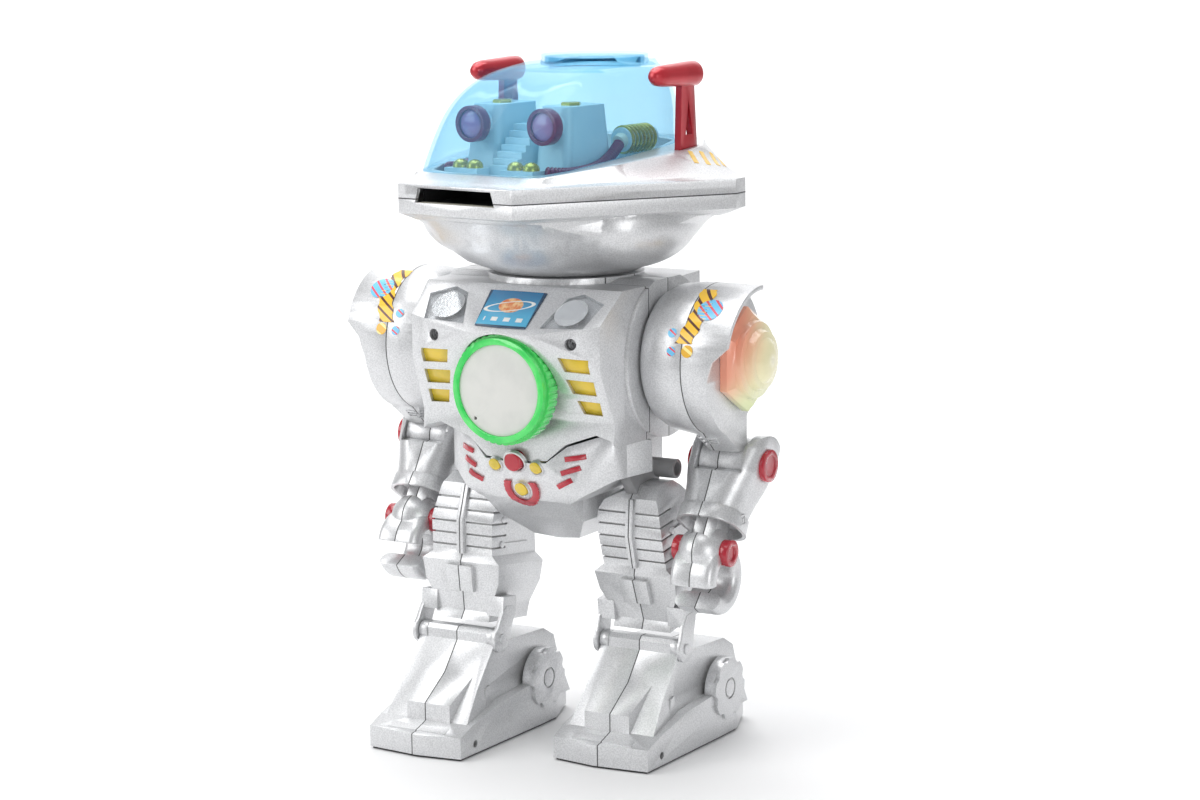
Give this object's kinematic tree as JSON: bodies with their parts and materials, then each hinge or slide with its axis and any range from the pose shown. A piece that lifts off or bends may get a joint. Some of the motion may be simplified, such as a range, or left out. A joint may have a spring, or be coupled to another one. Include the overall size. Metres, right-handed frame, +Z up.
{
  "type": "toy robot",
  "caption": "Walking toy robot with a clear-domed disc-shooting head, hinged arms with claw hands, and swinging legs on roller feet.",
  "frame": {"origin": "middle of the footprint, on the surface the soles stand on", "axes": "+Z up, -Y is the robot's front, +X its left"},
  "size_m": [0.2274, 0.1578, 0.34],
  "materials": {
    "silver_shell": "pearly silver paint over moulded plastic",
    "clear_lamp": "clear moulded plastic",
    "badge_print": null,
    "green_clear": "translucent green plastic",
    "white_disc": "matte off-white diffuser",
    "screw_steel": "plated screws",
    "red_trim": "glossy red plastic",
    "amber_clear": "amber plastic",
    "grey_plastic": "grey moulded plastic",
    "motor_steel": "plated motor can",
    "battery_wrap": "wrapped cells",
    "black_plastic": "black plastic",
    "blue_clear": "translucent blue plastic",
    "pale_deck": "pale moulded plastic",
    "red_hose": "dark red corrugated hose",
    "red_metallic": "metallic red plastic",
    "black_rubber": "rubber",
    "jewel_clear": "milky cream plastic with a pink tint"
  },
  "bodies": {
    "torso": {"torso_front": "silver_shell", "torso_rear": "silver_shell", "chest_lamp_covers": "clear_lamp", "chest_badge": "badge_print", "chest_ring": "green_clear", "chest_disc": "white_disc", "case_screws": "screw_steel", "pelvis_front": "silver_shell", "pelvis_rear": "silver_shell", "belt_trim": "red_trim", "amber_lenses": "amber_clear", "gearbox": "grey_plastic", "drive_motor": "motor_steel", "batteries": "battery_wrap"},
    "battery_door": {"battery_cover": "silver_shell"},
    "switch": {"power_switch": "black_plastic"},
    "button": {"belt_button": "red_trim"},
    "head": {"head_upper": "silver_shell", "head_lower": "silver_shell", "dome": "blue_clear", "cockpit_deck": "pale_deck", "eye_rings": "red_trim", "side_hoses": "red_hose", "blasters": "red_metallic", "launcher_motor": "motor_steel"},
    "lid": {"hatch_lid": "blue_clear"},
    "flywheel": {"launcher_wheel": "black_rubber"},
    "left_upper_arm": {"left_upper_arm_inner": "silver_shell", "left_upper_arm_outer": "silver_shell", "left_shoulder_jewel": "jewel_clear"},
    "left_forearm": {"left_forearm_inner": "silver_shell", "left_forearm_outer": "silver_shell", "left_elbow_caps": "red_trim"},
    "left_hand": {"left_hand_inner": "silver_shell", "left_hand_outer": "silver_shell", "left_wrist_caps": "red_trim"},
    "left_leg": {"left_leg_inner": "silver_shell", "left_leg_outer": "silver_shell", "left_leg_hanger": "grey_plastic"},
    "left_foot": {"left_foot_inner": "silver_shell", "left_foot_outer": "silver_shell", "left_sole": "black_rubber"},
    "left_toe_roller": {"left_roller": "black_rubber"},
    "right_upper_arm": {"right_upper_arm_inner": "silver_shell", "right_upper_arm_outer": "silver_shell", "right_shoulder_jewel": "jewel_clear"},
    "right_forearm": {"right_forearm_inner": "silver_shell", "right_forearm_outer": "silver_shell", "right_elbow_caps": "red_trim"},
    "right_hand": {"right_hand_inner": "silver_shell", "right_hand_outer": "silver_shell", "right_wrist_caps": "red_trim"},
    "right_leg": {"right_leg_inner": "silver_shell", "right_leg_outer": "silver_shell", "right_leg_hanger": "grey_plastic"},
    "right_foot": {"right_foot_inner": "silver_shell", "right_foot_outer": "silver_shell", "right_sole": "black_rubber"},
    "right_toe_roller": {"right_roller": "black_rubber"}
  },
  "joints": [
    {"name": "head_turn", "type": "hinge", "parent": "torso", "child": "head", "pos_m": [0, 0.0097, 0.236], "axis": [0, 0, 1], "range_deg": [-60, 60]},
    {"name": "lid_lift", "type": "slide", "parent": "head", "child": "lid", "axis": [0, 0, 1], "range_m": [0, 0.02]},
    {"name": "flywheel_spin", "type": "hinge", "parent": "head", "child": "flywheel", "pos_m": [0.00366, 0.03948, 0.268], "axis": [0, 0, 1], "continuous": true},
    {"name": "button_press", "type": "slide", "parent": "torso", "child": "button", "axis": [0, 1, 0], "range_m": [0, 0.0015], "stiffness_N_per_m": 400},
    {"name": "switch_slide", "type": "slide", "parent": "torso", "child": "switch", "axis": [1, 0, 0], "range_m": [-0.002, 0.002]},
    {"name": "door_off", "type": "slide", "parent": "torso", "child": "battery_door", "axis": [0, 1, 0], "range_m": [0, 0.012]},
    {"name": "left_shoulder", "type": "hinge", "parent": "torso", "child": "left_upper_arm", "pos_m": [0.06, 0.0097, 0.196], "axis": [-1, 0, 0], "range_deg": [-20, 110]},
    {"name": "left_elbow", "type": "hinge", "parent": "left_upper_arm", "child": "left_forearm", "pos_m": [0.0835, 0.0227, 0.143], "axis": [-1, 0, 0], "range_deg": [-15, 25]},
    {"name": "left_wrist", "type": "hinge", "parent": "left_forearm", "child": "left_hand", "pos_m": [0.0835, -0.00345, 0.10394], "axis": [-1, 0, 0], "range_deg": [-10, 20]},
    {"name": "left_hip", "type": "hinge", "parent": "torso", "child": "left_leg", "pos_m": [0.0455, -0.0103, 0.14921], "axis": [-1, 0, 0], "range_deg": [0, 14.6]},
    {"name": "left_ankle", "type": "hinge", "parent": "left_leg", "child": "left_foot", "pos_m": [0.0455, 0.00215, 0.052], "axis": [-1, 0, 0], "range_deg": [-14.6, 0]},
    {"name": "left_toe_roll", "type": "hinge", "parent": "left_foot", "child": "left_toe_roller", "pos_m": [0.0455, -0.03085, 0.0062], "axis": [-1, 0, 0], "continuous": true},
    {"name": "right_shoulder", "type": "hinge", "parent": "torso", "child": "right_upper_arm", "pos_m": [-0.06, 0.0097, 0.196], "axis": [-1, 0, 0], "range_deg": [-20, 110]},
    {"name": "right_elbow", "type": "hinge", "parent": "right_upper_arm", "child": "right_forearm", "pos_m": [-0.0835, 0.0227, 0.143], "axis": [-1, 0, 0], "range_deg": [-15, 25]},
    {"name": "right_wrist", "type": "hinge", "parent": "right_forearm", "child": "right_hand", "pos_m": [-0.0835, -0.00345, 0.10394], "axis": [-1, 0, 0], "range_deg": [-30, 0]},
    {"name": "right_hip", "type": "hinge", "parent": "torso", "child": "right_leg", "pos_m": [-0.0455, -0.0103, 0.14921], "axis": [-1, 0, 0], "range_deg": [-14.6, 0]},
    {"name": "right_ankle", "type": "hinge", "parent": "right_leg", "child": "right_foot", "pos_m": [-0.0455, -0.02275, 0.052], "axis": [-1, 0, 0], "range_deg": [0, 14.6]},
    {"name": "right_toe_roll", "type": "hinge", "parent": "right_foot", "child": "right_toe_roller", "pos_m": [-0.0455, -0.05575, 0.0062], "axis": [-1, 0, 0], "continuous": true}
  ],
  "couplings": [
    {"joint": "left_ankle", "follows": "left_hip", "ratio": -1},
    {"joint": "right_hip", "follows": "left_hip", "ratio": -1},
    {"joint": "right_ankle", "follows": "left_hip", "ratio": 1}
  ]
}
